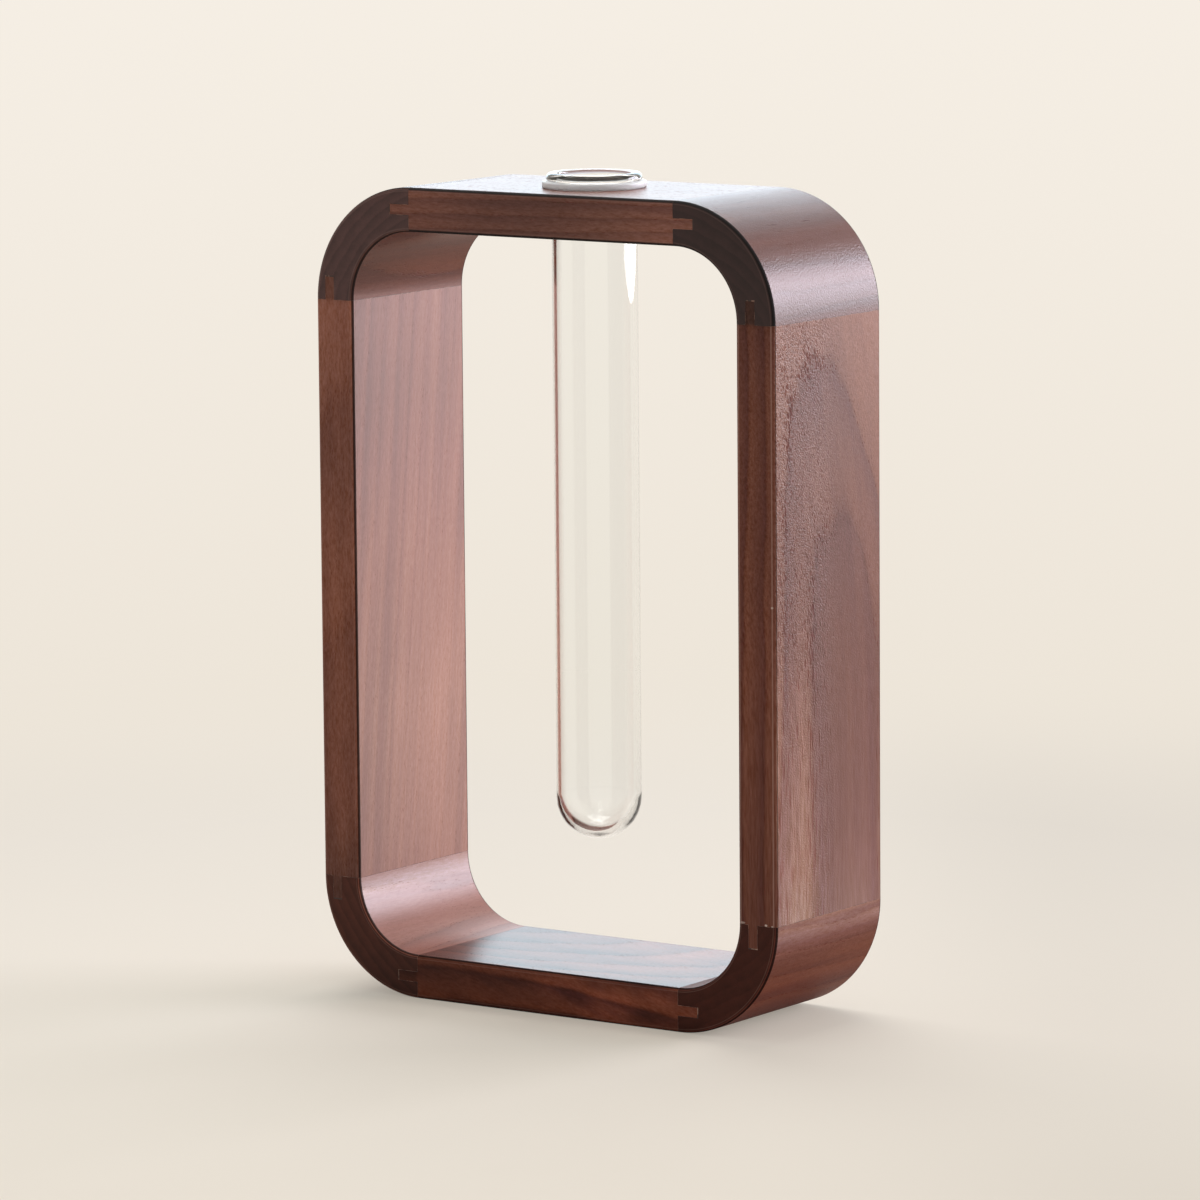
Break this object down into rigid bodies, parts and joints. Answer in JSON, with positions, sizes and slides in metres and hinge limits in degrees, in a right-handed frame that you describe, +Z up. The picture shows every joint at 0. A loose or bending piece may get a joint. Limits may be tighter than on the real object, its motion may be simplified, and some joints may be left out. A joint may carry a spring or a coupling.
{
  "type": "hydroponic planter",
  "caption": "Standing rounded walnut frame with a clear glass tube hung through its top, to root a cutting in water.",
  "frame": {"origin": "middle of the frame's underside, on the surface it stands on", "axes": "+X to the right across the frame's width, +Y to the back along its depth, +Z up along the tube"},
  "size_m": [0.161, 0.056, 0.2444],
  "materials": {
    "walnut_board": "satin oiled walnut, grain along the board",
    "walnut_corner": "satin oiled walnut, end grain to the front",
    "clear_silicone": "clear, smooth",
    "clear_glass": "clear, polished"
  },
  "bodies": {
    "frame": {"top_board": "walnut_board", "bottom_board": "walnut_board", "left_upright": "walnut_board", "right_upright": "walnut_board", "corner_top_left": "walnut_corner", "corner_top_right": "walnut_corner", "corner_bottom_left": "walnut_corner", "corner_bottom_right": "walnut_corner"},
    "ring": {"seat_ring": "clear_silicone"},
    "tube": {"glass_tube": "clear_glass"}
  },
  "joints": [
    {"name": "ring_lift", "type": "slide", "parent": "frame", "child": "ring", "axis": [0, 0, 1], "range_m": [0, 0.2]},
    {"name": "tube_lift", "type": "slide", "parent": "ring", "child": "tube", "axis": [0, 0, 1], "range_m": [0, 0.2]}
  ]
}
